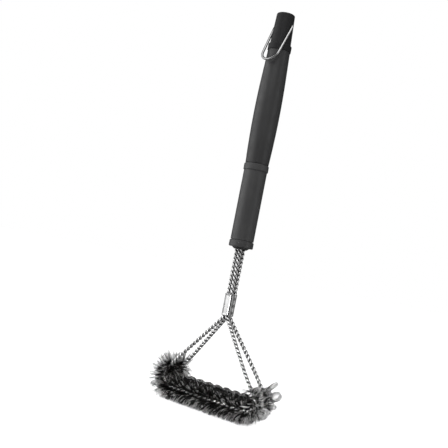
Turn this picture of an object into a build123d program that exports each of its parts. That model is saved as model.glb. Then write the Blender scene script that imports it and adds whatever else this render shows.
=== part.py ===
from build123d import *
import math
import os

# Grill cleaning brush: a long moulded handle on a shaft of twisted wires, which split below
# a crimped clamp into four legs and run on as two bristled bars.
# Millimetres. +Z runs up the handle, X along the bars, and -Y is the front.
# The origin is at the bottom centre of the brush head.

# ---- driving dimensions: head -------------------------------------------------------------
BRISTLE_R = 15.5          # from a bar's core to the bristle tips
BAR_Z = BRISTLE_R         # the bars' cores stand this high, so the bristles end at z = 0
BAR_Y = 8.5               # each bar lies this far in front of or behind the handle's axis
CORNER_X = 79.0           # where the lines of bar and leg would meet
CORNER_BEND_R = 11.0      # bend from bar to leg
BOW_Y = 10.4              # the legs bow out to here
BOW_SHARE = 0.62          # how far down a leg its widest point is
LEG_BRISTLES = 32.0       # bristles reach this far up a leg, from the corner
PACK_GAP = 0.15           # half the gap between the front and back packs
SEAM_GAP = 0.05           # half the gap between two packs of one bar

# ---- driving dimensions: wires, shaft and clamp -------------------------------------------
WIRE_R = 1.2
PAIR_OFFSET = WIRE_R + 0.02     # two wires of a pair lie this far each side of its centre line
PAIR_R = 2.45                   # outer radius of one twisted pair
CORE_BORE_R = 2.75              # room for a pair inside the bristle packs
CLAMP_BOTTOM = 108.5
CLAMP_TOP = 132.9
CLAMP_INSIDE = 4.95             # half width inside
CLAMP_WALL = 0.75
CLAMP_SEAM = 0.3                # width of the slit where the wrapped sheet meets
FORK_Z = CLAMP_BOTTOM - 2.2     # the legs turn outwards just below the clamp
FORK_BEND_R = 6.0
BOW_BEND_R = 200.0
STEM_TOP = 236.0                # the wires end inside the handle

# ---- driving dimensions: handle -----------------------------------------------------------
HANDLE_BOTTOM = 185.5
COLLAR_TOP = 192.7
MIDDLE_BOTTOM = 272.4
MIDDLE_TOP = 279.8
SHOULDER_BOTTOM = 410.6
SHOULDER_TOP = 418.2
HANDLE_TOP = 454.0
LOWER_R = 13.1
COLLAR_R = 13.65
MIDDLE_R = 14.0
SHOULDER_R = 13.3
TUBE_BORE_R = 10.0
FIT_GAP = 0.03                  # radial play between pressed plastic pieces
GRIP_PROFILE = [                # radius and height of the upper grip's swelling outline
    (13.1, MIDDLE_TOP),
    (14.1, 302.0),
    (14.75, 340.0),
    (14.1, 374.0),
    (13.3, 393.0),
    (12.6, SHOULDER_BOTTOM),
]
NECK_FOOT_R = 11.9
NECK_TOP_R = 10.3
NECK_RIM_R = 1.4
NECK_HOLLOW_TOP = 430.0
NECK_WALL = 2.6
SPIGOT_BOTTOM = 398.0
SPIGOT_WALL = 2.0
JOINER_BOTTOM = 254.0
JOINER_TOP = 302.0
JOINER_WALL = 2.0
PLUG_TOP = 244.0
PLUG_TIP_Z = 183.2
PLUG_TIP_R = 7.2
PLUG_HOLE = 5.0                 # half width of the plug's hole for the wires
PIN_R = 1.2
PIN_Z = 214.0
PIN_LENGTH = 18.6
EDGE = 0.6                      # small chamfer on ring edges
GROOVE = 0.9                    # height and depth of the groove above a collar

# ---- driving dimensions: hanging loop -----------------------------------------------------
LOOP_WIRE_R = 1.4
LOOP_HALF_WIDTH = 12.7          # at the pivot; the legs close in a little towards the U
LOOP_U_R = 11.0
LOOP_LENGTH = 48.8              # pivot to the outside of the U
LOOP_STUB_END = 3.0             # the bent-in ends stop this far from the axis
LOOP_BEND_R = 2.0
LOOP_PIVOT_Z = 440.3
LOOP_BORE_R = LOOP_WIRE_R + 0.06
LOOP_REST = 22.5                # degrees out from straight down, against the shoulder ring


def ring(outer, inner, bottom, top):
    """A plain tube about the handle's axis."""
    outside = Cylinder(outer, top - bottom, align=(Align.CENTER, Align.CENTER, Align.MIN))
    inside = Cylinder(inner, top - bottom, align=(Align.CENTER, Align.CENTER, Align.MIN))
    return Pos(0, 0, bottom) * (outside - inside)


def rounded_square(half, corner, bottom, top):
    """A square post with rounded corners, for the clamp and the wires' hole."""
    outline = Pos(0, 0, bottom) * RectangleRounded(2 * half, 2 * half, corner)
    return extrude(outline, top - bottom)


def revolved(points):
    """A solid of revolution from a closed outline of (radius, height) points."""
    outline = make_face(Polyline(*[(r, 0, z) for r, z in points], close=True))
    return revolve(outline, Axis.Z)


def hanger_end():
    """Solid neck with the shoulder ring below and a spigot that plugs into the upper grip."""
    spigot_r = TUBE_BORE_R - FIT_GAP
    outline = [
        (0, SPIGOT_BOTTOM),
        (spigot_r, SPIGOT_BOTTOM),
        (spigot_r, SHOULDER_BOTTOM),
        (SHOULDER_R - EDGE, SHOULDER_BOTTOM),
        (SHOULDER_R, SHOULDER_BOTTOM + EDGE),
        (SHOULDER_R, SHOULDER_TOP - EDGE),
        (SHOULDER_R - EDGE, SHOULDER_TOP),
        (NECK_FOOT_R, SHOULDER_TOP),
        (NECK_TOP_R, HANDLE_TOP),
        (0, HANDLE_TOP),
    ]
    body = revolved(outline)
    rim = body.edges().filter_by(GeomType.CIRCLE).sort_by(Axis.Z)[-1]
    body = fillet(rim, NECK_RIM_R)
    hollow_r = spigot_r - SPIGOT_WALL
    hollow = Pos(0, 0, SPIGOT_BOTTOM) * Cylinder(
        hollow_r, NECK_HOLLOW_TOP - SPIGOT_BOTTOM, align=(Align.CENTER, Align.CENTER, Align.MIN))
    cross_hole = Pos(0, 0, LOOP_PIVOT_Z) * Rot(0, 90, 0) * Cylinder(LOOP_BORE_R, 4 * NECK_FOOT_R)
    return body - hollow - cross_hole


def upper_grip():
    """Swelling tube between the middle collar and the shoulder ring."""
    side = Spline(*[(r, 0, z) for r, z in GRIP_PROFILE])
    foot_r, foot_z = GRIP_PROFILE[0]
    head_r, head_z = GRIP_PROFILE[-1]
    rest = Polyline(
        (head_r, 0, head_z),
        (TUBE_BORE_R, 0, head_z),
        (TUBE_BORE_R, 0, foot_z),
        (foot_r, 0, foot_z))
    return revolve(make_face(side + rest), Axis.Z) - groove(foot_r, foot_z)


def lower_grip():
    """Straight tube between the two collars."""
    return ring(LOWER_R, TUBE_BORE_R, COLLAR_TOP, MIDDLE_BOTTOM) - groove(LOWER_R, COLLAR_TOP)


def groove(radius, bottom):
    """Cutter for the narrow groove at a grip's foot, above its collar."""
    return ring(radius + GROOVE, radius - GROOVE, bottom, bottom + GROOVE)


def middle_collar():
    """Raised ring that covers the joint of the two grips."""
    return revolved([
        (TUBE_BORE_R, MIDDLE_BOTTOM),
        (MIDDLE_R - EDGE, MIDDLE_BOTTOM),
        (MIDDLE_R, MIDDLE_BOTTOM + EDGE),
        (MIDDLE_R, MIDDLE_TOP - EDGE),
        (MIDDLE_R - EDGE, MIDDLE_TOP),
        (TUBE_BORE_R, MIDDLE_TOP),
    ])


def bottom_collar():
    """Raised ring at the handle's lower end."""
    return revolved([
        (TUBE_BORE_R, HANDLE_BOTTOM),
        (COLLAR_R - EDGE, HANDLE_BOTTOM),
        (COLLAR_R, HANDLE_BOTTOM + EDGE),
        (COLLAR_R, COLLAR_TOP - EDGE),
        (COLLAR_R - EDGE, COLLAR_TOP),
        (TUBE_BORE_R, COLLAR_TOP),
    ])


def stem_plug():
    """Plug in the lower grip, with a hole for the wires and a cross-hole for the pin."""
    plug_r = TUBE_BORE_R - FIT_GAP
    body = revolved([
        (0, PLUG_TIP_Z),
        (PLUG_TIP_R, PLUG_TIP_Z),
        (plug_r, HANDLE_BOTTOM),
        (plug_r, PLUG_TOP),
        (0, PLUG_TOP),
    ])
    wires = rounded_square(PLUG_HOLE, PAIR_R, PLUG_TIP_Z - 1, STEM_TOP + 1)
    pin_hole = Pos(0, 0, PIN_Z) * Rot(90, 0, 0) * Cylinder(PIN_R + FIT_GAP, 4 * TUBE_BORE_R)
    return body - wires - pin_hole


def anchor_pin():
    """Pin driven across the plug, between the left and right wires."""
    return Pos(0, 0, PIN_Z) * Rot(90, 0, 0) * Cylinder(PIN_R, PIN_LENGTH)


def stem_clamp():
    """Sheet steel wrapped round the four pairs, with its seam on the right face."""
    height = CLAMP_TOP - CLAMP_BOTTOM
    outside = CLAMP_INSIDE + CLAMP_WALL
    sleeve = rounded_square(outside, PAIR_R + CLAMP_WALL, CLAMP_BOTTOM, CLAMP_TOP)
    sleeve -= rounded_square(CLAMP_INSIDE, PAIR_R, CLAMP_BOTTOM, CLAMP_TOP)
    seam = Box(2 * outside, CLAMP_SEAM, height, align=(Align.MIN, Align.CENTER, Align.MIN))
    return sleeve - Pos(0, 0, CLAMP_BOTTOM) * seam


def leg_points(front, right):
    """Fork, widest point and corner of one leg's centre line."""
    fork = Vector(right * PAIR_R, front * PAIR_R, FORK_Z)
    corner = Vector(right * CORNER_X, front * BAR_Y, BAR_Z)
    bow = fork + (corner - fork) * BOW_SHARE
    return fork, Vector(bow.X, front * BOW_Y, bow.Z), corner


def stem_wire(front, shift):
    """One wire: down the shaft, along a leg, the bar and the other leg, and up again."""
    left_fork, left_bow, left_corner = leg_points(front, -1)
    right_fork, right_bow, right_corner = leg_points(front, 1)
    route = [
        Vector(left_fork.X, left_fork.Y, STEM_TOP),
        left_fork,
        left_bow,
        left_corner,
        right_corner,
        right_bow,
        right_fork,
        Vector(right_fork.X, right_fork.Y, STEM_TOP),
    ]
    bends = [FORK_BEND_R, BOW_BEND_R, CORNER_BEND_R, CORNER_BEND_R, BOW_BEND_R, FORK_BEND_R]
    moved = [point + Vector(0, shift * PAIR_OFFSET, 0) for point in route]
    path = FilletPolyline(*moved, radius=bends)
    section = Plane(origin=path @ 0, z_dir=path % 0) * Circle(WIRE_R)
    return sweep(section, path=path)


def corner_bend(front, right):
    """Centre, ends and turn of the bend between bar and leg."""
    fork, bow, corner = leg_points(front, right)
    along_leg = (bow - corner).normalized()
    along_bar = Vector(-right, 0, 0)
    turn = 180 - along_leg.get_angle(along_bar)
    reach = CORNER_BEND_R * math.tan(math.radians(turn / 2))
    middle = (along_leg + along_bar).normalized()
    centre = corner + middle * (CORNER_BEND_R / math.cos(math.radians(turn / 2)))
    return centre, corner + along_bar * reach, corner + along_leg * reach, along_leg, turn, reach


def half_space(front):
    """The side of the middle plane that one loop's bristles fill."""
    size = 4 * CORNER_X
    return Pos(0, front * (size / 2 + PACK_GAP), 0) * Box(size, size, size)


def bristle_bar(front):
    """Closed envelope of the straight stretch of one bar."""
    _, start, _, _, _, _ = corner_bend(front, 1)
    length = 2 * (start.X - SEAM_GAP)
    tube = Cylinder(BRISTLE_R, length) - Cylinder(CORE_BORE_R, length)
    return (Pos(0, front * BAR_Y, BAR_Z) * Rot(0, 90, 0) * tube) & half_space(front)


def bristle_end(front, right):
    """Closed envelope round one corner and up its leg, bored for the wires."""
    centre, start, leg_start, along_leg, turn, reach = corner_bend(front, right)
    outward = (start - centre).normalized()
    section = Plane(origin=centre, x_dir=outward, z_dir=Vector(-right, 0, 0))
    half = Pos(BRISTLE_R + CORNER_BEND_R, 0, 0) * Rectangle(
        2 * (BRISTLE_R + CORNER_BEND_R), 4 * BRISTLE_R)
    envelope = (Pos(CORNER_BEND_R, 0, 0) * Circle(BRISTLE_R)) & half
    bore = Pos(CORNER_BEND_R, 0, 0) * Circle(CORE_BORE_R)
    spin = Axis(centre, section.y_dir * turn_sign(section, centre, start, leg_start))
    pack = revolve(section * envelope, spin, revolution_arc=turn)
    hole = revolve(section * bore, spin, revolution_arc=turn)
    leg_length = LEG_BRISTLES - reach
    leg_plane = Plane(origin=leg_start, z_dir=along_leg)
    pack += extrude(leg_plane * Circle(BRISTLE_R), leg_length)
    hole += extrude(leg_plane * Circle(CORE_BORE_R), leg_length)
    bar_space = Rot(0, 90, 0) * Cylinder(BRISTLE_R + SEAM_GAP, 2 * abs(start.X))
    return (pack - hole - Pos(0, front * BAR_Y, BAR_Z) * bar_space) & half_space(front)


def turn_sign(section, centre, start, leg_start):
    """Which way the bend turns about the section plane's own Y."""
    swing = (start - centre).cross(leg_start - centre)
    return 1 if swing.dot(section.y_dir) > 0 else -1


def hanging_loop():
    """U of wire whose two ends are bent inwards into the neck."""
    centre_drop = LOOP_LENGTH - LOOP_WIRE_R - LOOP_U_R
    reach = math.hypot(LOOP_HALF_WIDTH, centre_drop)
    lean = math.atan2(LOOP_HALF_WIDTH, centre_drop) - math.asin(LOOP_U_R / reach)
    foot_x = LOOP_U_R * math.cos(lean)
    foot_z = -centre_drop - LOOP_U_R * math.sin(lean)
    side = FilletPolyline(
        (LOOP_STUB_END, 0, 0), (LOOP_HALF_WIDTH, 0, 0), (foot_x, 0, foot_z), radius=[LOOP_BEND_R])
    bottom = ThreePointArc((foot_x, 0, foot_z), (0, 0, -centre_drop - LOOP_U_R), (-foot_x, 0, foot_z))
    other = FilletPolyline(
        (-foot_x, 0, foot_z), (-LOOP_HALF_WIDTH, 0, 0), (-LOOP_STUB_END, 0, 0), radius=[LOOP_BEND_R])
    path = Wire(side.edges() + bottom.edges() + other.edges())
    section = Plane(origin=path @ 0, z_dir=path % 0) * Circle(LOOP_WIRE_R)
    wire = sweep(section, path=path)
    return Pos(0, 0, LOOP_PIVOT_Z) * Rot(-LOOP_REST, 0, 0) * wire


def pieces():
    """Every node's name and shape."""
    yield "hanger_end", hanger_end()
    yield "upper_grip", upper_grip()
    yield "middle_collar", middle_collar()
    yield "lower_grip", lower_grip()
    yield "bottom_collar", bottom_collar()
    joiner_r = TUBE_BORE_R - FIT_GAP
    yield "grip_joiner", ring(joiner_r, joiner_r - JOINER_WALL, JOINER_BOTTOM, JOINER_TOP)
    yield "stem_plug", stem_plug()
    yield "anchor_pin", anchor_pin()
    yield "stem_clamp", stem_clamp()
    yield "hanging_loop", hanging_loop()
    for name, front in (("front", -1), ("back", 1)):
        yield f"{name}_stem_wire_a", stem_wire(front, -1)
        yield f"{name}_stem_wire_b", stem_wire(front, 1)
        yield f"{name}_bristles_bar", bristle_bar(front)
        yield f"{name}_bristles_left_end", bristle_end(front, -1)
        yield f"{name}_bristles_right_end", bristle_end(front, 1)


os.makedirs("parts", exist_ok=True)
for name, shape in pieces():
    export_step(shape, f"parts/{name}.step")
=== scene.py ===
import math

import bpy
import numpy as np
from mathutils import Matrix, Vector


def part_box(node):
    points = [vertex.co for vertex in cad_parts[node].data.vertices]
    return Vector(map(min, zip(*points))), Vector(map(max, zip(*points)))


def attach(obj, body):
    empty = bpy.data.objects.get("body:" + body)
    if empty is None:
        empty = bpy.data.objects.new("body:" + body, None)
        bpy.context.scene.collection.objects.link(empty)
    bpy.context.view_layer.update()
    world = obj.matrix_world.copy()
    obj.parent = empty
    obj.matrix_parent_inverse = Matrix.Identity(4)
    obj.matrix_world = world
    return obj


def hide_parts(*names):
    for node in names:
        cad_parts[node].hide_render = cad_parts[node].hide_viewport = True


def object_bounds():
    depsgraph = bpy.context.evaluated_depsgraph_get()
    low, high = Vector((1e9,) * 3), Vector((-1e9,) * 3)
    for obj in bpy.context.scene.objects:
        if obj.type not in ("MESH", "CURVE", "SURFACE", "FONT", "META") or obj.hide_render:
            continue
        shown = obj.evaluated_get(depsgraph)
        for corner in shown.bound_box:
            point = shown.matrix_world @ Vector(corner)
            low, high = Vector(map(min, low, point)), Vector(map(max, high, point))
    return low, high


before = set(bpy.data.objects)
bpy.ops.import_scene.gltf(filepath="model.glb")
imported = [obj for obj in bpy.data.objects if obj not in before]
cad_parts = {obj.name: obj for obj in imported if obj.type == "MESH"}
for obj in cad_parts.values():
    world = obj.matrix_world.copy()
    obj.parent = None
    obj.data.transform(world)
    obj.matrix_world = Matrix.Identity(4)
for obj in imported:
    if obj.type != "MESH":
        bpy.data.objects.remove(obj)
CAD_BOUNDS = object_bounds()

MM = 0.001

# ---- places, read from the frame ------------------------------------------------------------
PACK_LOW, PACK_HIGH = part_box("front_bristles_bar")
CLAMP_LOW, CLAMP_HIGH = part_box("stem_clamp")
BRISTLE_R = (PACK_HIGH.z - PACK_LOW.z) / 2
BAR_Z = (PACK_HIGH.z + PACK_LOW.z) / 2
BAR_Y = -PACK_LOW.y - BRISTLE_R
STEM_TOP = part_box("front_stem_wire_a")[1].z
HALF_WAY = (CAD_BOUNDS[0][2] + CAD_BOUNDS[1][2]) / 2

# ---- the wires' route, with the sizes that the CAD wires have -------------------------------
PAIR_R = 2.45 * MM
WIRE_R = 1.21 * MM
CORNER_X = 79.0 * MM
CORNER_BEND_R = 11.0 * MM
BOW_Y = 10.4 * MM
BOW_SHARE = 0.62
BOW_BEND_R = 200.0 * MM
FORK_BEND_R = 6.0 * MM
FORK_Z = CLAMP_LOW.z - 2.2 * MM
LEG_BRISTLES = 32.0 * MM
ROUTE_STEP = 0.3 * MM
ARC_POINTS = 24
WIRE_SIDES = 14
PLAIN_PITCH = 9.8 * MM
BRISTLED_PITCH = 13.1 * MM
LOBE_X = -1.3 * MM            # a bristle lobe points straight up here
PAIR_PAINTED_SHADE = 0.62             # painted shade between the two pairs, where they touch in the shaft

# ---- hanging loop, with the sizes that the CAD loop has -------------------------------------
LOOP_WIRE_R = 1.4 * MM
LOOP_HALF_WIDTH = 12.7 * MM
LOOP_U_R = 11.0 * MM
LOOP_LENGTH = 48.8 * MM
LOOP_STUB_END = 3.0 * MM
LOOP_BEND_R = 2.0 * MM
LOOP_REST = 22.5              # lean off the handle at rest, in degrees
LOOP_SIDES = 20
LOOP_U_POINTS = 60
LOOP_BEND_POINTS = 14
LOOP_STUB_POINTS = 16
LOOP_LEG_POINTS = 50
LOOP_PIVOT_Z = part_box("hanging_loop")[1].z - LOOP_WIRE_R

# ---- clamp ----------------------------------------------------------------------------------
CLAMP_WALL = 0.75 * MM
CLAMP_CORNER_R = PAIR_R + CLAMP_WALL
CLAMP_CORNER_POINTS = 12
CLAMP_STEP = 0.22 * MM        # spacing of mesh points round the sleeve
RIM_ROWS, RIM_STEP = 2.4, 0.2       # height of the finer rows at a rim and their spacing, in mm
BODY_STEP = 0.55 * MM         # spacing of the rows between them
CLAMP_SEAM = 0.3 * MM
CLAMP_SINK = 0.15 * MM        # how far the body lies inside its rims
PANEL_HALF = 3.0 * MM         # half width of the panel stamped into each plain face
PANEL_DEPTH = 0.3 * MM
RIM_ROLL = 0.16 * MM          # how far the rims curl in at their edges
LIP_DEPTH = 0.3 * MM          # how far the seam's lips roll in
LIP_WAVE = 0.07 * MM          # unevenness of the face with the seam
# painted shade on the sleeve: along its rounded corners and in its rolled-in seam
CORNER_PAINTED_SHADE, LIP_PAINTED_SHADE = 0.39, 0.5

# ---- bristles -------------------------------------------------------------------------------
BRISTLE_WIRE_R = 0.14 * MM
BRISTLE_SIDES = 3
BRISTLE_BOW = 0.35 * MM       # how far the middle of a bristle strays from a straight line
TRIM_LOWEST = 0.3 * MM        # height at which the lowest tips end
TRIM_SPREAD = 2.2 * MM        # how much higher the other cut tips may end
LONGEST = 1.03                # reach of the longest straight bristles, in envelope radii
LOBE_DROP = 0.46              # how much shorter the back bristles are between two lobes
LOBE_SPREAD = 0.6             # how far a lobe's bristles converge towards their roots
ROOT_SPREAD = 0.25            # the same for the straight bristles
PARTING_RISE = 0.17           # angle above level at which the bristles part in front of the core
PARTING = (0.955, 0.993)      # cosines of the angles where the parting starts and is bare
BAR_DENSITY = 26              # bunches per millimetre of core, on the bars and left corners
RIGHT_DENSITY = 17            # the same on the right corners
BUNCH = 3                     # wires in a bunch
LEFT_THINNED = 0.3            # share of bunches missing inside a left corner
RIGHT_THINNED = 0.75          # the same inside a right corner and at the ends of a bar's own pack
SIDE_KEPT = 0.55              # share of bunches kept on the sides of a corner
LEFT_REACH = 0.76             # how much of their length bristles keep outside a left corner
RIGHT_REACH = 0.62            # the same outside a right corner
ARCHES = 56                   # wide loops that outline one lobe
ARCH_HALF = (3.2, 5.4)        # half width of these loops, in millimetres
LOBES = range(-5, 6)          # whole pitches from the middle lobe
TUFT_ROOT = 0.3 * MM
TUFT_TIP = 0.45 * MM
SPIKE_STEP = 2.0 * MM         # spacing of the combed spikes round the left corners
SPIKE_ROW = 9                 # spikes side by side in a row
SPIKE_SLANT = 1.3 * MM        # how far a row runs along the core from its first spike to its last
SPIKE_ARC = 1.2               # how far a row reaches round the core to each side, in radians
SPIKE_REACH = (1.0, 1.28)     # in envelope radii
SPIKE_LEAN = 0.55             # how far the spikes at the top of the leg lean towards the handle
SPIKE_LEAN_RUN = 14.0 * MM    # length of core over which that lean dies out
SPIKE_WIRES = 6
GOLDEN = 0.618034             # turns from one bunch to the next, for an even spread
HAIRPIN_SHOULDER = 0.55       # the lower, the squarer the turn at a hairpin's tip
HAIRPIN_FOOT = 0.25           # how far apart its legs are at the core, as a share
HAIRPIN_WIDTH = 1.45          # brings its widest place to the half width asked for
PETAL_FACING = (0.64, -0.76, -0.05)     # the way the leaves of looped wire face

# ---- tones, which shaded() turns into the painted light and shade that colour a bristle -------
BRIGHTEST = 2.2               # tone of the rare brightest bunches
RARITY = 5                    # the higher, the fewer bunches are bright
LOBE_TONE = {-1: -0.35, 1: 0.8}     # extra on the lobes, for the front and the back loop: painted shade on the front ones, painted light on the back ones
GROUND_TONE = 0.6             # painted light on bristles that point away from the handle
PARTING_TONE = -0.4           # painted shade at the edges of the parting
CORNER_TONE = 0.3             # painted light on the filling of the corners
# painted light inside a leaf of looped wire, and painted shade on its outermost wires
PETAL_TONE = 2.6
PETAL_EDGE_TONE = 2.4         # how much darker the outermost wires of a leaf are
SPIKE_TONES = (0.8, 4.0)
ARCH_TONES = (0, 0.3)

# ---- colours along a value ------------------------------------------------------------------
# painted shade: at 0 the colour stays, higher values darken it
PAINTED_SHADE_STOPS = [(0.3, 1.0), (0.54, 0.04)]
# painted shade and light along a bristle, dark at the root and bright at the tip
BRISTLE_PAINTED_LIGHT_STOPS = [(0.15, 0.004), (0.5, 0.009), (0.8, 0.045), (1.0, 0.95)]
SPECKLE_STOPS = [(0.35, 0.45), (0.65, 1.0)]

# ---- fineness of the noises, in features per metre ------------------------------------------
BLOTCHES = 60.0
GLOSS_PATCHES = 140.0
GRAIN = 1500.0
STEEL_CLOUDS = 220.0
SPECKLES = 700.0
FINE_STREAKS, WIDE_STREAKS = 900.0, 300.0
STREAK_DEPTH = 0.01 * MM

rng = np.random.default_rng(286)


# ---- small geometry helpers -----------------------------------------------------------------
def unit(vectors):
    """Each vector along the last axis at length 1."""
    return vectors / np.maximum(np.linalg.norm(vectors, axis=-1, keepdims=True), 1e-12)


def make_piece(name, vertices, faces, material, body, replaced=()):
    """A smooth mesh piece that rides on a body and stands for CAD nodes."""
    mesh = bpy.data.meshes.new(name)
    mesh.from_pydata(vertices, [], faces)
    mesh.polygons.foreach_set("use_smooth", np.ones(len(mesh.polygons), bool))
    mesh.update()
    mesh.materials.append(material)
    piece = bpy.data.objects.new(name, mesh)
    bpy.context.scene.collection.objects.link(piece)
    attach(piece, body)
    if replaced:
        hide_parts(*replaced)
    return piece


def rounded_route(corners, bends, step):
    """Even points along straight runs joined by tangent arcs, and their distances along it."""
    corners = [np.array(c, float) for c in corners]
    points = [corners[0]]
    for before, corner, after, bend in zip(corners, corners[1:], corners[2:], bends):
        back, ahead = unit(before - corner), unit(after - corner)
        half = math.acos(float(np.clip(back @ ahead, -1, 1))) / 2
        reach = bend / math.tan(half)
        centre = corner + unit(back + ahead) * bend / math.sin(half)
        start, end = corner + back * reach - centre, corner + ahead * reach - centre
        turn = math.pi - 2 * half
        side = unit(end - start * (start @ end) / (start @ start)) * bend
        for share in np.linspace(0, 1, ARC_POINTS):
            angle = turn * share
            points.append(centre + start * math.cos(angle) + side * math.sin(angle))
    points.append(corners[-1])
    points = np.array(points)
    along = np.concatenate([[0], np.cumsum(np.linalg.norm(np.diff(points, axis=0), axis=1))])
    even = np.arange(0, along[-1], step)
    return np.stack([np.interp(even, along, points[:, i]) for i in range(3)], axis=1), even


def tube_mesh(paths, sideways, radii, sides):
    """Closed tubes along paths, an array of (tubes, points, 3); sideways points out of each path."""
    count, length, _ = paths.shape
    tangent = unit(np.gradient(paths, axis=1))
    first = unit(sideways - tangent * (sideways * tangent).sum(-1, keepdims=True))
    second = np.cross(tangent, first)
    angles = np.arange(sides) * 2 * math.pi / sides
    cosine, sine = np.cos(angles)[:, None], np.sin(angles)[:, None]
    rings = first[:, :, None] * cosine + second[:, :, None] * sine
    vertices = paths[:, :, None] + rings * radii[..., None, None]
    ring = np.arange(sides)
    start = (np.arange(count) * length * sides)[:, None, None]
    row = (np.arange(length - 1) * sides)[None, :, None]
    low = start + row + ring
    turned = start + row + (ring + 1) % sides
    quads = np.stack([low, turned, turned + sides, low + sides], axis=-1).reshape(-1, 4)
    first_ring = start[:, 0] + ring[::-1]
    last_ring = start[:, 0] + (length - 1) * sides + ring
    faces = quads.tolist() + first_ring.tolist() + last_ring.tolist()
    return vertices.reshape(-1, 3).tolist(), faces


# ---- materials ------------------------------------------------------------------------------
def node_material(name, metallic, roughness):
    """A material with its own Principled shader, and its nodes and links to build on."""
    material = bpy.data.materials.new(name)
    material.use_nodes = True
    nodes, links = material.node_tree.nodes, material.node_tree.links
    shader = nodes["Principled BSDF"]
    shader.inputs["Metallic"].default_value = metallic
    shader.inputs["Roughness"].default_value = roughness
    return material, nodes, links, shader


def noise(nodes, links, coordinates, scale, detail=3.0, stretch=(1, 1, 1)):
    """Noise over object coordinates; scale is in features per metre."""
    mapping = nodes.new("ShaderNodeMapping")
    mapping.inputs["Scale"].default_value = stretch
    links.new(coordinates.outputs["Object"], mapping.inputs["Vector"])
    texture = nodes.new("ShaderNodeTexNoise")
    texture.inputs["Scale"].default_value = scale
    texture.inputs["Detail"].default_value = detail
    links.new(mapping.outputs["Vector"], texture.inputs["Vector"])
    return texture.outputs["Fac"]


def ramp(nodes, links, source, stops):
    """Colours or greys over a 0 to 1 value."""
    node = nodes.new("ShaderNodeValToRGB")
    elements = node.color_ramp.elements
    while len(elements) < len(stops):
        elements.new(0.5)
    for element, (place, colour) in zip(elements, stops):
        element.position = place
        grey = colour if isinstance(colour, tuple) else (colour, colour, colour)
        element.color = (*grey, 1)
    links.new(source, node.inputs["Fac"])
    return node.outputs["Color"]


def add_bump(nodes, links, shader, height, distance, strength=1.0):
    """Relief from a height field, in metres."""
    bump = nodes.new("ShaderNodeBump")
    bump.inputs["Distance"].default_value = distance
    bump.inputs["Strength"].default_value = strength
    links.new(height, bump.inputs["Height"])
    links.new(bump.outputs["Normal"], shader.inputs["Normal"])


def grip_material(name, dark, light, smooth=0.42, rough=0.56, specular=0.5):
    """Matte black moulded plastic with a fine grain and faint handling marks."""
    material, nodes, links, shader = node_material(name, 0.0, 0.5)
    shader.inputs["Specular IOR Level"].default_value = specular
    place = nodes.new("ShaderNodeTexCoord")
    blotches = noise(nodes, links, place, BLOTCHES, 4.0, (1, 1, 0.3))
    tone = ramp(nodes, links, blotches, [(0.3, dark), (0.7, light)])
    links.new(tone, shader.inputs["Base Color"])
    patches = noise(nodes, links, place, GLOSS_PATCHES)
    gloss = ramp(nodes, links, patches, [(0.3, smooth), (0.7, rough)])
    links.new(gloss, shader.inputs["Roughness"])
    grain = noise(nodes, links, place, GRAIN, 2.0)
    add_bump(nodes, links, shader, grain, 0.06 * MM, 0.6)
    return material


def by_attribute(nodes, links, name, stops):
    """Colours or greys over a point value that the mesh carries."""
    field = nodes.new("ShaderNodeAttribute")
    field.attribute_name = name
    return ramp(nodes, links, field.outputs["Fac"], stops)


def multiplied(nodes, links, first, second):
    """Product of two colours."""
    mix = nodes.new("ShaderNodeMix")
    mix.data_type = "RGBA"
    mix.blend_type = "MULTIPLY"
    mix.inputs[0].default_value = 1.0
    links.new(first, mix.inputs[6])
    links.new(second, mix.inputs[7])
    return mix.outputs[2]


def steel_material(
    name, metallic, tones, gloss, streak_scale, streak_depth, stretch=(1, 1, 1), with_painted_shade=False
):
    """Bright steel with slightly uneven colour, gloss and surface; the last switch multiplies in
    painted shade from a value on each vertex.
    """
    material, nodes, links, shader = node_material(name, metallic, 0.2)
    place = nodes.new("ShaderNodeTexCoord")
    cloud = noise(nodes, links, place, STEEL_CLOUDS, 4.0)
    tone = ramp(nodes, links, cloud, list(zip((0.3, 0.7), tones)))
    if with_painted_shade:
        # painted shade, read from a value on each vertex
        painted_shade = by_attribute(nodes, links, "groove_painted_shade", PAINTED_SHADE_STOPS)
        tone = multiplied(nodes, links, tone, painted_shade)
    links.new(tone, shader.inputs["Base Color"])
    streaks = noise(nodes, links, place, streak_scale, 3.0, stretch)
    links.new(ramp(nodes, links, streaks, list(zip((0.3, 0.7), gloss))), shader.inputs["Roughness"])
    add_bump(nodes, links, shader, streaks, streak_depth)
    return material


def bristle_material():
    """Fine steel wire with painted shade near the core and painted light towards the tips."""
    material, nodes, links, shader = node_material("bristle_steel_look", 0.6, 0.4)
    shader.inputs["Specular IOR Level"].default_value = 0.12
    place = nodes.new("ShaderNodeTexCoord")
    speckle = ramp(nodes, links, noise(nodes, links, place, SPECKLES, 2.0), SPECKLE_STOPS)
    # the reach value that the mesh carries is painted light and shade: dark near the core, bright at
    # the tips
    tone = by_attribute(nodes, links, "reach", BRISTLE_PAINTED_LIGHT_STOPS)
    links.new(multiplied(nodes, links, tone, speckle), shader.inputs["Base Color"])
    return material


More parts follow.
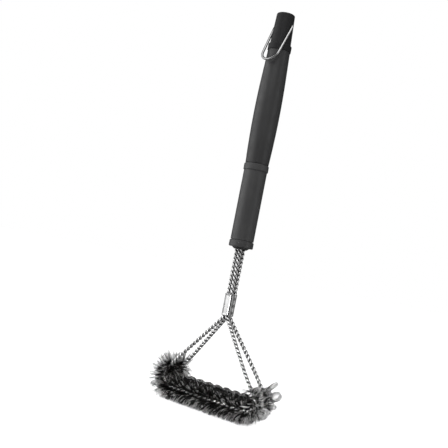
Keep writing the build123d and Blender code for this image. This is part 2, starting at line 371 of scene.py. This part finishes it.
# the neck, upper and lower grips are one plastic in three darknesses, darkest at the neck: painted
# shade along the handle
NECK = grip_material(
    "neck_plastic_look", (0.011, 0.011, 0.012), (0.018, 0.018, 0.019), 0.5, 0.62, 0.24
)
UPPER = grip_material("upper_plastic_look", (0.026, 0.026, 0.027), (0.038, 0.038, 0.039))
LOWER = grip_material("lower_plastic_look", (0.047, 0.047, 0.048), (0.063, 0.063, 0.064))
INNER = grip_material("inner_plastic_look", (0.013, 0.013, 0.014), (0.02, 0.02, 0.021))
STEM = steel_material(
    "stem_steel_look", 0.8, (0.68, 0.78), (0.2, 0.34), FINE_STREAKS, STREAK_DEPTH, with_painted_shade=True
)
PIN = steel_material("pin_steel_look", 1.0, (0.56, 0.72), (0.2, 0.34), FINE_STREAKS, STREAK_DEPTH)
CLAMP = steel_material(
    "clamp_steel_look", 1.0, (0.5, 0.6), (0.1, 0.22), WIDE_STREAKS, STREAK_DEPTH, (1, 1, 0.2), True
)
LOOP = steel_material("loop_steel_look", 1.0, (0.3, 0.36), (0.1, 0.16), WIDE_STREAKS, 0.001 * MM)
BRISTLE = bristle_material()


# ---- the two loops of twisted wire ----------------------------------------------------------
class Loop:
    """Centre line, directions and twist of one loop.

    front is -1 for the front loop and 1 for the back one; hand is -1 for a left-handed twist.
    """

    def __init__(self, front, hand):
        def leg(right):
            fork = np.array([right * PAIR_R, front * PAIR_R, FORK_Z])
            corner = np.array([right * CORNER_X, front * BAR_Y, BAR_Z])
            bow = fork + (corner - fork) * BOW_SHARE
            return fork, np.array([bow[0], front * BOW_Y, bow[2]]), corner

        left, right = leg(-1), leg(1)
        top = np.array([0, 0, STEM_TOP - FORK_Z])
        corners = [left[0] + top, *left, *right[::-1], right[0] + top]
        bends = [FORK_BEND_R, BOW_BEND_R, CORNER_BEND_R, CORNER_BEND_R, BOW_BEND_R, FORK_BEND_R]
        self.points, self.along = rounded_route(corners, bends, ROUTE_STEP)
        self.tangent = unit(np.gradient(self.points, axis=0))
        back = np.array([0.0, 1.0, 0.0])
        self.normal = unit(back - self.tangent * (self.tangent @ back)[:, None])
        self.inward = np.cross(self.tangent, self.normal)
        self.front = front
        self.hand = hand
        self.middle = middle = self.along[-1] / 2
        self.half_bar = PACK_HIGH.x
        half_bristled = self.half_run(*left[1:])
        self.bristled = (middle - half_bristled, middle + half_bristled)
        self.bar = (middle - self.half_bar, middle + self.half_bar)
        half_plain = middle - (STEM_TOP - FORK_Z)
        turns = self.twist(half_bristled, half_plain)
        self.phase = -hand * 2 * math.pi * turns

    def twist(self, half_bristled, half_plain):
        """Turns along the route, 0 at the middle lobe, with each fork a whole or half turn away."""
        away = self.along - self.middle
        knots, turns = [LOBE_X], [0.0]
        for side in (-1, 1):
            edge = (side * half_bristled - LOBE_X) / BRISTLED_PITCH
            fork = edge + side * (half_plain - half_bristled) / PLAIN_PITCH
            fork = round(2 * fork) / 2
            end = fork + side * (self.middle - half_plain) / PLAIN_PITCH
            knots += [side * half_bristled, side * half_plain, side * self.middle]
            turns += [edge, fork, end]
        order = np.argsort(knots)
        return np.interp(away, np.array(knots)[order], np.array(turns)[order])

    def half_run(self, bow, corner):
        """Length of core from the middle of the bar to where the bristles end on a leg."""
        away = unit(bow - corner)
        end = corner + away * LEG_BRISTLES
        nearest = np.argmin(np.linalg.norm(self.points - end, axis=1))
        return self.along[-1] / 2 - self.along[nearest]

    def at(self, along, field):
        """A field of the route at distances along it."""
        return np.stack([np.interp(along, self.along, field[:, i]) for i in range(3)], axis=-1)

    def direction(self, along, phase):
        """Unit vectors square to the core; phase 0 points into the triangle."""
        inward, normal = self.at(along, self.inward), self.at(along, self.normal)
        return inward * np.cos(phase)[..., None] + normal * np.sin(phase)[..., None]


def smooth_step(value, low, high):
    """0 below low, 1 above high, smooth between."""
    share = np.clip((value - low) / (high - low), 0, 1)
    return share * share * (3 - 2 * share)


def point_value(piece, name, values):
    """Gives every vertex of a piece a value that its material can read."""
    field = piece.data.attributes.new(name, "FLOAT", "POINT")
    field.data.foreach_set("value", np.asarray(values, np.float32))


def stem_wire(loop, name, node, quarter):
    """One of the two wires of a pair, wound round the pair's centre line."""
    phase = loop.phase + quarter * math.pi / 2
    away = loop.direction(loop.along, phase)
    path = loop.points + away * WIRE_R
    vertices, faces = tube_mesh(path[None], away[None], np.full((1, len(path)), WIRE_R), WIRE_SIDES)
    piece = make_piece(name, vertices, faces, STEM, "brush", [node])
    # painted shade on the inner half of each wire, facing the other wire of the pair, and between
    # the two pairs where they touch in the shaft
    around = np.arange(WIRE_SIDES) * 2 * math.pi / WIRE_SIDES
    groove_painted_shade = np.tile((1 - np.cos(around)) / 2, len(path))
    place = abs(np.array(vertices))
    between_pairs = 1 - smooth_step(place[:, 1], 0.2 * MM, 1.0 * MM)
    in_shaft = smooth_step(place[:, 2], FORK_Z - 6 * MM, FORK_Z)
    point_value(piece, "groove_painted_shade", np.maximum(groove_painted_shade, PAIR_PAINTED_SHADE * between_pairs * in_shaft))


# ---- bristles -------------------------------------------------------------------------------
def trimmed(root, toward, reach):
    """Reach cut back, unevenly, so that no tip goes through the surface the brush stands on."""
    down = np.minimum(toward[..., 2], -1e-6)
    level = TRIM_LOWEST + TRIM_SPREAD * rng.random(len(reach)) ** 2
    return np.minimum(reach, (level - root[..., 2]) / down)


def from_ridge(loop, along, phase, ridges):
    """Distance along the core to the nearest of the ridges that wind round with the twist."""
    turned = (np.interp(along, loop.along, loop.phase) - phase) * ridges
    wrapped = np.mod(turned + math.pi, 2 * math.pi) - math.pi
    return -loop.hand * wrapped / (2 * math.pi) * BRISTLED_PITCH / ridges


def tufts(loop, start, end, count):
    """Bunches spread round a stretch of core: places of tips and roots, phase, reach and tone."""
    turns = np.arange(count) * GOLDEN + rng.normal(0, 0.02, count)
    phase = np.mod(turns, 1.0) * 2 * math.pi - math.pi
    along = start + (end - start) * (np.arange(count) + rng.uniform(0, 1, count)) / count
    on_bar = smooth_step(loop.half_bar - abs(along - loop.middle), -4 * MM, 4 * MM)
    into = np.cos(phase)
    lobed = smooth_step(into, 0.1, 0.7) * on_bar
    offset = from_ridge(loop, along, phase, 1)
    drop = abs(offset * 2 / BRISTLED_PITCH) ** 2.0
    depth = LOBE_DROP if loop.front > 0 else LOBE_DROP / 2  # the front loop's scallops are flatter
    reach = BRISTLE_R * (LONGEST - depth * lobed * drop)
    root = along - LOBE_SPREAD * lobed * offset
    root = root - ROOT_SPREAD * (1 - lobed) * from_ridge(loop, along, phase, 2)
    crowded = (1 - on_bar) * smooth_step(into, -0.2, 0.5)
    fanned = (1 - on_bar) * smooth_step(-into, 0.0, 0.8)
    from_parting = phase - loop.front * (math.pi / 2 - PARTING_RISE)
    parted = smooth_step(np.cos(from_parting), *PARTING) * on_bar
    thinned = RIGHT_THINNED if end > loop.middle else LEFT_THINNED
    chance = SIDE_KEPT + (1 - SIDE_KEPT) * np.maximum(fanned, on_bar)
    chance = (1 - thinned * crowded) * (1 - parted) * chance
    keep = rng.random(count) < chance
    # tone sets how far up a bunch its painted light reaches: lighter on the back loop's lobes and on
    # bristles pointing away from the handle, darker on the front loop's lobes and at the parting
    tone = BRIGHTEST * rng.random(count) ** RARITY + LOBE_TONE[loop.front] * lobed
    tone = tone + GROUND_TONE * smooth_step(-into, 0.5, 1.0) + PARTING_TONE * parted
    return along[keep], root[keep], phase[keep], reach[keep], tone[keep]


def shaded(share, tone):
    """The painted light and shade that colour a bunch, dark near the core: a bright bunch is light
    from half way, a dark one never.
    """
    return np.clip(share * (0.5 + 0.75 * tone)[:, None], 0, 1)


def spokes(root, tip, tone, wires, root_spread, tip_spread, shortest):
    """Bunches of straight wires from roots to tips, each wire with a slight bend."""
    many = np.repeat(np.arange(len(root)), wires)
    foot = root[many] + rng.normal(0, root_spread, (len(many), 3))
    aim = tip[many] + rng.normal(0, tip_spread, (len(many), 3)) - foot
    toward = unit(aim)
    cut = 1 - (1 - shortest) * rng.random(len(many)) ** 3
    length = trimmed(foot, toward, np.linalg.norm(aim, axis=1)) * cut
    share = np.array([0.06, 0.5, 1.0])
    across = unit(np.cross(toward, rng.normal(0, 1, toward.shape)))
    bow = across * rng.normal(0, BRISTLE_BOW, len(many))[:, None]
    paths = foot[:, None] + toward[:, None] * (length[:, None] * share)[..., None]
    paths = paths + bow[:, None] * (share * (1 - share) * 4)[:, None]
    sideways = np.broadcast_to(across[:, None], paths.shape)
    return paths, sideways, shaded(share, tone[many])


def straight_bristles(loop, start, end, density, outer_reach=1.0, lighter=0.0):
    """Small bunches of wires all round the core; outer_reach shortens those outside a bend."""
    along, foot, phase, reach, tone = tufts(loop, start, end, int(density * (end - start) / MM))
    reach = reach * (1 - (1 - outer_reach) * smooth_step(-np.cos(phase), -0.2, 0.4))
    root = loop.at(foot, loop.points)
    tip = loop.at(along, loop.points) + loop.direction(along, phase) * reach[:, None]
    return spokes(root, tip, tone + lighter, BUNCH, TUFT_ROOT, TUFT_TIP, 0.8)


def combed_spikes(loop, start, end):
    """Rows of pointed bunches on the outside of a bend, as combing leaves them."""
    along = np.arange(start, end, SPIKE_STEP)
    slant = np.tile(np.linspace(0, 1, SPIKE_ROW) * SPIKE_SLANT, len(along))
    along = np.repeat(along, SPIKE_ROW) + slant
    along = along + rng.normal(0, 0.4 * MM, len(along))
    row = np.linspace(-SPIKE_ARC, SPIKE_ARC, SPIKE_ROW)
    phase = math.pi + np.tile(row, len(along) // SPIKE_ROW)
    phase = phase + rng.normal(0, 0.14, len(along))
    root = loop.at(along, loop.points)
    reach = BRISTLE_R * rng.uniform(*SPIKE_REACH, len(along))
    lean = SPIKE_LEAN * (1 - smooth_step(along, start, start + SPIKE_LEAN_RUN))
    lean = lean[:, None] * loop.at(along, loop.tangent)
    out = unit(loop.direction(along, phase) - lean + rng.normal(0, 0.07, (len(along), 3)))
    tone = rng.uniform(*SPIKE_TONES, len(along))
    return spokes(root, root + out * reach[:, None], tone, SPIKE_WIRES, 0.9 * MM, 0.5 * MM, 0.8)


def hairpins(root, toward, across, half, length, tone):
    """Wires that leave the core, turn round at the tip and come back."""
    turn = np.linspace(0.05, 1, 6)
    turn = np.concatenate([turn[:-1] * 0.5, 1 - turn[::-1] * 0.5])
    rise = np.sin(turn * math.pi) ** HAIRPIN_SHOULDER
    apart = HAIRPIN_FOOT + (1 - HAIRPIN_FOOT) * np.sin(turn * math.pi) ** 0.5
    swing = -np.cos(turn * math.pi) * apart * HAIRPIN_WIDTH
    paths = root[:, None] + toward[:, None] * (length[:, None] * rise)[..., None]
    paths = paths + across[:, None] * (half[:, None] * swing)[..., None]
    sideways = np.broadcast_to(np.cross(toward, across)[:, None], paths.shape)
    return paths, sideways, shaded(rise, tone)


def lobe_arches(loop, start, end):
    """Wide loops that outline each lobe on the inner side of a bar."""
    middles = loop.middle + LOBE_X + BRISTLED_PITCH * np.array(LOBES)
    middles = middles[(middles > start) & (middles < end)]
    along = np.repeat(middles, ARCHES)
    phase = rng.uniform(-0.75, 0.75, len(along))
    along = along - loop.hand * phase / (2 * math.pi) * BRISTLED_PITCH
    toward = loop.direction(along, phase)
    root = loop.at(along, loop.points)
    across = loop.at(along, loop.tangent)
    half = rng.uniform(*ARCH_HALF, len(along)) * MM
    length = BRISTLE_R * rng.uniform(0.95, 1.0, len(along))
    tone = rng.uniform(*ARCH_TONES, len(along))
    return hairpins(root, toward, across, half, length, tone)


def petal(loop, past_middle, toward, length, half, wires):
    """A flat leaf of nested loops, as a bunch of long wires opens out at an end."""
    place = loop.middle + past_middle
    root = np.repeat(loop.at(np.array([place]), loop.points), wires, axis=0)
    toward = unit(np.array(toward))
    across = unit(np.cross(toward, np.array(PETAL_FACING)))
    nest = np.linspace(0.08, 1, wires) ** 0.8
    toward = unit(toward + rng.normal(0, 0.035, (wires, 3)))
    across = np.broadcast_to(across, toward.shape)
    tone = PETAL_TONE - PETAL_EDGE_TONE * nest ** 8
    return hairpins(root, toward, across, half * nest, length * (0.86 + 0.14 * nest), tone)


def fan(loop, past_middle, toward, length, spread, wires, tone):
    """Loose straight wires that open out from one place on the core."""
    root = np.repeat(loop.at(np.array([loop.middle + past_middle]), loop.points), wires, axis=0)
    out = unit(np.array(toward) + rng.normal(0, spread, (wires, 3)))
    reach = length * rng.uniform(0.75, 1.0, wires)
    tip = root + out * reach[:, None]
    return spokes(root, tip, np.full(wires, tone), 1, 0.4 * MM, 0.1 * MM, 0.95)


def bristle_pack(name, node, groups):
    """All the bristles of one stretch of a loop, as one mesh."""
    vertices, faces, reach = [], [], []
    for paths, sideways, share in groups:
        radii = np.full(share.shape, BRISTLE_WIRE_R)
        more_vertices, more_faces = tube_mesh(paths, sideways, radii, BRISTLE_SIDES)
        base = len(vertices)
        vertices += more_vertices
        faces += [[corner + base for corner in face] for face in more_faces]
        reach.append(np.repeat(share.reshape(-1), BRISTLE_SIDES))
    piece = make_piece(name, vertices, faces, BRISTLE, "brush", [node])
    # the value stored as reach is the painted light and shade from shaded()
    point_value(piece, "reach", np.concatenate(reach))


def bar_groups(loop, start, end):
    """Bristles of a straight bar."""
    return [straight_bristles(loop, start, end, BAR_DENSITY), lobe_arches(loop, start, end)]


def left_groups(loop, start, end):
    """Bristles of a left corner: a short dense filling, and combed spikes outside."""
    filling = straight_bristles(loop, start, end, BAR_DENSITY, LEFT_REACH, CORNER_TONE)
    return [filling, combed_spikes(loop, start, end)]


def right_groups(loop, start, end):
    """Bristles of a right corner: a thin, short filling."""
    return [straight_bristles(loop, start, end, RIGHT_DENSITY, RIGHT_REACH, CORNER_TONE)]


FRONT = Loop(-1, -1)
BACK = Loop(1, 1)
BAR_END = FRONT.half_bar
FRONT_RIGHT = [
    petal(FRONT, BAR_END + 14 * MM, (0.86, 0.43, -0.36), 17.0 * MM, 7.0 * MM, 26),
    fan(FRONT, BAR_END + 3 * MM, (0.25, -0.1, -0.95), 15.0 * MM, 0.2, 44, 2.6),
    fan(FRONT, BAR_END - 6 * MM, (-0.1, -0.35, -0.93), 14.0 * MM, 0.25, 34, 2.4),
    fan(FRONT, BAR_END + 30 * MM, (-0.75, -0.45, 0.1), 14.0 * MM, 0.14, 14, 2.6),
    fan(FRONT, BAR_END + 14 * MM, (-0.75, -0.62, -0.1), 17.0 * MM, 0.03, 7, 3.0),
]
BACK_RIGHT = [
    petal(BACK, BAR_END + 30 * MM, (0.57, 0.42, 0.7), 19.0 * MM, 2.4 * MM, 16),
    petal(BACK, BAR_END + 21 * MM, (0.67, 0.48, 0.55), 18.0 * MM, 5.4 * MM, 24),
    petal(BACK, BAR_END + 15 * MM, (0.85, 0.5, 0.13), 13.0 * MM, 3.0 * MM, 16),
]
FRONT_LEFT = [
    fan(FRONT, -BAR_END - 10 * MM, (-0.85, -0.35, -0.4), 21.0 * MM, 0.1, 50, 1.2),
]
BACK_LEFT = [
    fan(BACK, -BAR_END + MM, (0.2, 0.1, 0.97), 17.0 * MM, 0.22, 60, 2.6),
    fan(BACK, -BAR_END - 14 * MM, (0.9, -0.1, 0.2), 17.0 * MM, 0.3, 160, 3.0),
]
for word, loop, left_extras, right_extras in (
    ("front", FRONT, FRONT_LEFT, FRONT_RIGHT),
    ("back", BACK, BACK_LEFT, BACK_RIGHT),
):
    stem_wire(loop, f"{word}_twisted_wire_a", f"{word}_stem_wire_a", 1)
    stem_wire(loop, f"{word}_twisted_wire_b", f"{word}_stem_wire_b", -1)
    low, high = loop.bristled
    left, right = loop.bar
    bristle_pack(f"{word}_bar_bristles", f"{word}_bristles_bar", bar_groups(loop, left, right))
    left_end, right_end = left_groups(loop, low, left), right_groups(loop, right, high)
    bristle_pack(f"{word}_left_bristles", f"{word}_bristles_left_end", left_end + left_extras)
    bristle_pack(f"{word}_right_bristles", f"{word}_bristles_right_end", right_end + right_extras)


# ---- the clamp ------------------------------------------------------------------------------
def sleeve_outline(half, corner, gap, step):
    """Points, outward normals and distance from the face's middle, round a slit square tube."""
    flat = half - corner
    points, normals, across = [], [], []
    faces = [(gap, flat), (-flat, flat), (-flat, flat), (-flat, flat), (-flat, -gap)]
    for quarter, (first, last) in enumerate(faces):
        turn = quarter * math.pi / 2
        out = np.array([math.cos(turn), math.sin(turn)])
        side = np.array([-math.sin(turn), math.cos(turn)])
        for place in np.linspace(first, last, max(2, round((last - first) / step))):
            points.append(out * half + side * place)
            normals.append(out)
            across.append(place)
        if quarter < 4:
            centre = (out + side) * flat
            for angle in np.linspace(turn, turn + math.pi / 2, CLAMP_CORNER_POINTS)[1:-1]:
                normal = np.array([math.cos(angle), math.sin(angle)])
                points.append(centre + normal * corner)
                normals.append(normal)
                across.append(flat + corner)
    return np.array(points), np.array(normals), abs(np.array(across))


def clamp_sleeve():
    """Sheet steel wrapped round the wires: rolled rims, stamped panels and a rolled-in seam."""
    half = CLAMP_HIGH.x - CLAMP_SINK
    tall = CLAMP_HIGH.z - CLAMP_LOW.z
    outline, normals, across = sleeve_outline(half, CLAMP_CORNER_R, CLAMP_SEAM / 2, CLAMP_STEP)
    near_rim = np.arange(0, RIM_ROWS, RIM_STEP) * MM
    heights = np.concatenate([near_rim, np.arange(RIM_ROWS * MM, tall / 2, BODY_STEP)])
    heights = np.concatenate([heights, tall - heights[::-1]])
    from_end = np.minimum(heights, tall - heights)[:, None]
    seam_face = (normals[:, 0] > 0.999) & (across < half)
    rim = 1 - smooth_step(from_end, 0.5 * MM, 1.0 * MM)
    rolled = 1 - smooth_step(from_end, 0.0, 0.3 * MM)
    panel = smooth_step(PANEL_HALF - across, 0.0, 0.5 * MM)
    panel = panel * smooth_step(from_end, 1.5 * MM, 2.0 * MM)
    lip = seam_face * (1 - smooth_step(across, 0.25 * MM, 0.85 * MM))
    wave = np.sin(heights[:, None] / (1.25 * MM) + 400 * across) * seam_face
    wave = wave * smooth_step(from_end, MM, 3 * MM)
    sink = PANEL_DEPTH * panel * ~seam_face - CLAMP_SINK * rim + RIM_ROLL * rolled
    sink = sink + LIP_DEPTH * lip + LIP_WAVE * wave
    outer = outline[None] - normals[None] * sink[..., None]
    inner = np.broadcast_to(outline - normals * (CLAMP_WALL - CLAMP_SINK), outer.shape)
    rows, columns = sink.shape
    level = np.broadcast_to((CLAMP_LOW.z + heights)[:, None, None], (rows, columns, 1))
    sheets = [np.concatenate([sheet, level], axis=2).reshape(-1, 3) for sheet in (outer, inner)]
    vertices = np.concatenate(sheets).tolist()
    number = np.arange(2 * rows * columns).reshape(2, rows, columns)
    skin, lining = number

    def strip(a, b):
        return np.stack([a[:-1], a[1:], b[1:], b[:-1]], axis=-1).reshape(-1, 4).tolist()

    faces = []
    for row in range(rows - 1):
        faces += strip(skin[row], skin[row + 1]) + strip(lining[row + 1], lining[row])
    faces += strip(lining[0], skin[0]) + strip(skin[-1], lining[-1])
    faces += strip(skin[:, 0], lining[:, 0]) + strip(lining[:, -1], skin[:, -1])
    piece = make_piece(
        "clamp_sleeve", vertices, faces, CLAMP, "brush", ["stem_clamp"]
    )
    # painted shade along the rounded corners and in the rolled-in seam
    edge_painted_shade = np.maximum(CORNER_PAINTED_SHADE * (across >= half), LIP_PAINTED_SHADE * lip)
    point_value(piece, "groove_painted_shade", np.tile(edge_painted_shade, 2 * rows))


clamp_sleeve()


# ---- the hanging loop -----------------------------------------------------------------------
def hanging_wire():
    """A U of drawn wire with its ends bent in, leaning off the handle."""
    drop = LOOP_LENGTH - LOOP_WIRE_R - LOOP_U_R
    span = math.hypot(LOOP_HALF_WIDTH, drop)
    lean = math.atan2(LOOP_HALF_WIDTH, drop) - math.asin(LOOP_U_R / span)
    turn = np.linspace(lean, math.pi - lean, LOOP_U_POINTS)
    curve = np.stack([LOOP_U_R * np.cos(turn), -drop - LOOP_U_R * np.sin(turn)], axis=1)
    shoulder = np.array([LOOP_HALF_WIDTH, 0.0])
    down = unit(curve[0] - shoulder)
    back = np.array([-1.0, 0.0])
    half = math.acos(float(back @ down)) / 2
    reach = LOOP_BEND_R / math.tan(half)
    centre = shoulder + unit(back + down) * LOOP_BEND_R / math.sin(half)
    first, last = shoulder + back * reach - centre, shoulder + down * reach - centre
    share = np.linspace(0, 1, LOOP_BEND_POINTS)[:, None]
    bend = centre + unit(first * (1 - share) + last * share) * LOOP_BEND_R
    stub = np.linspace((LOOP_STUB_END, 0), bend[0], LOOP_STUB_POINTS)[:-1]
    leg = np.linspace(bend[-1], curve[0], LOOP_LEG_POINTS)[1:-1]
    right = np.concatenate([stub, bend, leg])
    flat = np.concatenate([right, curve, right[::-1] * (-1, 1)])
    rest = math.radians(LOOP_REST)
    height = LOOP_PIVOT_Z + flat[:, 1] * math.cos(rest)
    path = np.stack([flat[:, 0], flat[:, 1] * math.sin(rest), height], axis=1)
    sideways = np.broadcast_to((0.0, math.cos(rest), -math.sin(rest)), path.shape)
    radii = np.full((1, len(path)), LOOP_WIRE_R)
    vertices, faces = tube_mesh(path[None], sideways[None], radii, LOOP_SIDES)
    make_piece("hanging_wire", vertices, faces, LOOP, "loop", ["hanging_loop"])


hanging_wire()


# ---- CAD pieces that stay, with their materials ---------------------------------------------
def finish_node(node, material):
    """Gives a CAD node its look."""
    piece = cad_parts[node]
    piece.data.materials.clear()
    piece.data.materials.append(material)


finish_node("hanger_end", NECK)
finish_node("upper_grip", UPPER)
for node in ("middle_collar", "lower_grip", "bottom_collar"):
    finish_node(node, LOWER)
for node in ("grip_joiner", "stem_plug"):
    finish_node(node, INNER)
finish_node("anchor_pin", PIN)


# ---- floor, light and camera ----------------------------------------------------------------
def floor():
    """A plain pale floor, bright enough to meet the pale background."""
    size = 30.0
    mesh = bpy.data.meshes.new("floor")
    corners = [(-size, -size, 0), (size, -size, 0), (size, size, 0), (-size, size, 0)]
    mesh.from_pydata(corners, [], [(0, 1, 2, 3)])
    material, nodes, links, shader = node_material("floor_look", 0.0, 0.9)
    shader.inputs["Base Color"].default_value = (0.45, 0.45, 0.45, 1)
    shader.inputs["Specular IOR Level"].default_value = 0.0
    shader.inputs["Emission Color"].default_value = (1, 1, 1, 1)
    path = nodes.new("ShaderNodeLightPath")
    links.new(path.outputs["Is Camera Ray"], shader.inputs["Emission Strength"])
    mesh.materials.append(material)
    piece = bpy.data.objects.new("floor", mesh)
    bpy.context.scene.collection.objects.link(piece)


def outward(azimuth, elevation):
    """Unit vector for an azimuth, 0 at the front, and an elevation, in radians."""
    level = math.cos(elevation)
    return Vector((math.sin(azimuth) * level, -math.cos(azimuth) * level, math.sin(elevation)))


def softbox(name, azimuth, elevation, distance, width, height, power, aim=HALF_WAY, spread=180):
    """A rectangular light that faces a height on the axis, by default half way up."""
    middle = Vector((0, 0, aim))
    away = outward(math.radians(azimuth), math.radians(elevation))
    light = bpy.data.lights.new(name, "AREA")
    light.shape = "RECTANGLE"
    light.size = width
    light.size_y = height
    light.energy = power
    light.spread = math.radians(spread)
    lamp = bpy.data.objects.new(name, light)
    lamp.visible_camera = False
    bpy.context.scene.collection.objects.link(lamp)
    lamp.location = middle + away * distance
    lamp.rotation_euler = away.to_track_quat("Z", "Y").to_euler()


def background():
    """White to the camera, and a softer grey for what the object reflects."""
    world = bpy.data.worlds.new("studio")
    bpy.context.scene.world = world
    world.use_nodes = True
    nodes, links = world.node_tree.nodes, world.node_tree.links
    seen = nodes["Background"]
    seen.inputs["Color"].default_value = (1, 1, 1, 1)
    lit = nodes.new("ShaderNodeBackground")
    lit.inputs["Color"].default_value = (1, 1, 1, 1)
    lit.inputs["Strength"].default_value = 0.08
    path = nodes.new("ShaderNodeLightPath")
    mix = nodes.new("ShaderNodeMixShader")
    links.new(path.outputs["Is Camera Ray"], mix.inputs[0])
    links.new(lit.outputs[0], mix.inputs[1])
    links.new(seen.outputs[0], mix.inputs[2])
    links.new(mix.outputs[0], nodes["World Output"].inputs["Surface"])


def camera():
    """A long-lens view from front right, tilted so that the handle leans to the right."""
    azimuth, elevation, roll = math.radians(40.18), math.radians(-3.09), math.radians(11.17)
    distance = 895.1 * MM
    aim = Vector((0, 0, 250.0 * MM))
    slide_right, slide_up = -30.97 * MM, -37.02 * MM
    away = outward(azimuth, elevation)
    level = away.to_track_quat("Z", "Y").to_matrix()
    turned = level @ Matrix.Rotation(roll, 3, "Z")
    lens = bpy.data.cameras.new("camera")
    lens.sensor_width = 36.0
    lens.lens = 64.29
    lens.clip_start = 0.01
    view = bpy.data.objects.new("camera", lens)
    bpy.context.scene.collection.objects.link(view)
    place = aim + away * distance + turned @ Vector((slide_right, slide_up, 0))
    view.matrix_world = Matrix.Translation(place) @ turned.to_4x4()
    bpy.context.scene.camera = view


floor()
background()
softbox("key_light", -50, 10, 1.5, 2.0, 2.2, 24)
softbox("side_light", 100, 8, 1.6, 0.6, 1.8, 5.5)
softbox("fill_light", 142, 0, 1.6, 0.8, 1.2, 1.1)
softbox("front_light", 35, 42, 1.5, 1.2, 0.9, 7)
softbox("top_light", 20, 75, 1.4, 1.2, 1.2, 8)
softbox("low_light", 12, 9, 0.5, 0.6, 0.06, 0.19, BAR_Z, 36)
camera()
bpy.context.scene.view_settings.view_transform = "Standard"
